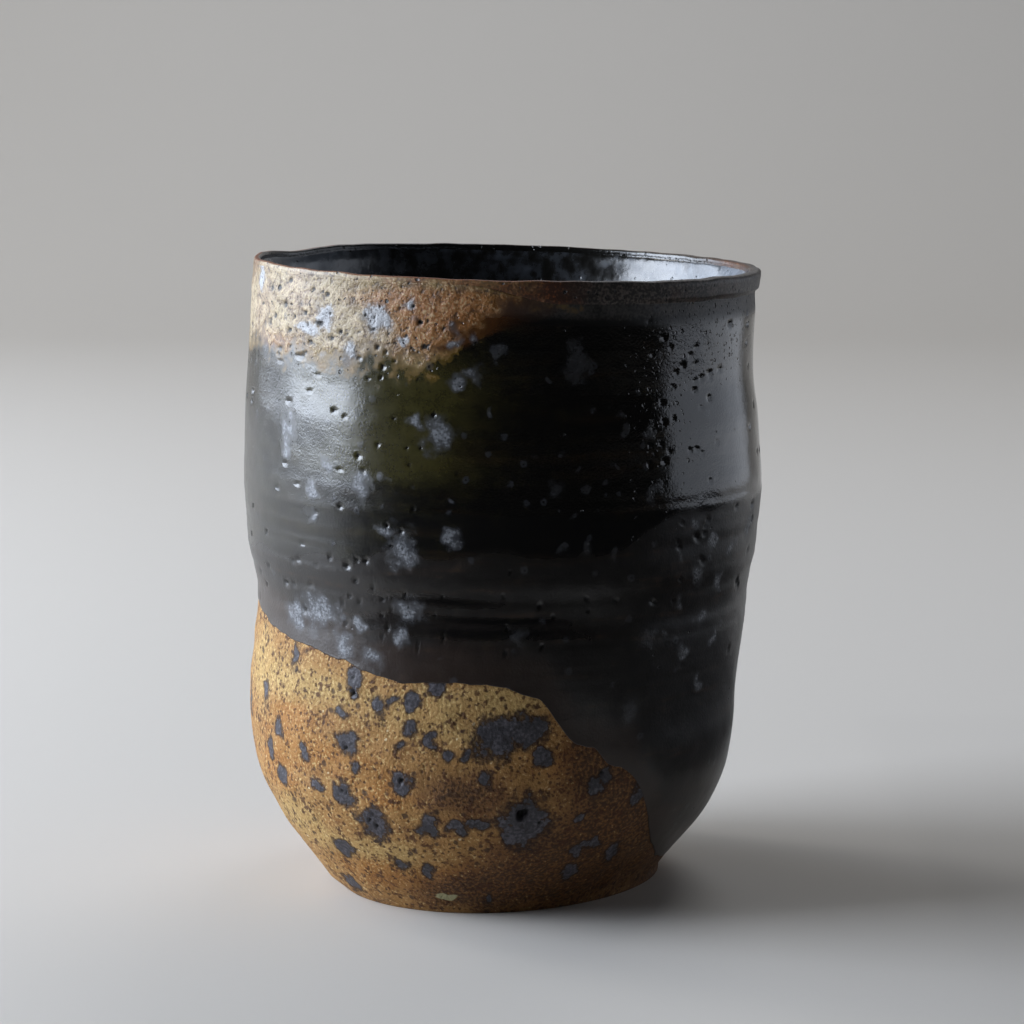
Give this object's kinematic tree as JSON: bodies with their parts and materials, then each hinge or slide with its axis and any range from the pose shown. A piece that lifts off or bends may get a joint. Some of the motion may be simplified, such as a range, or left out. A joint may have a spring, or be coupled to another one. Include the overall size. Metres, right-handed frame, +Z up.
{
  "type": "ceramic cup",
  "caption": "Handleless wheel-thrown stoneware cup with a dark iron glaze dipped at a slant over bare speckled clay, for tea or other drinks.",
  "frame": {"origin": "on the table, under the middle of the cup's bounding box", "axes": "+Z up from the table to the rim, -Y towards the front where the bare clay shows, +X to the right of that front"},
  "size_m": [0.0828, 0.0828, 0.1004],
  "materials": {
    "bare_stoneware": "bare fired speckled stoneware, sandy and matt",
    "iron_glaze": "dark iron glaze, glossy with pits, satin towards its lower edge",
    "liner_glaze": "dark glossy poured glaze with pale mottling",
    "iron_wash": "thin rust-brown iron wash, satin and rough"
  },
  "bodies": {
    "root": {"stoneware_body": "bare_stoneware", "outer_glaze": "iron_glaze", "inner_glaze": "liner_glaze", "lip_wash": "iron_wash"}
  },
  "joints": []
}
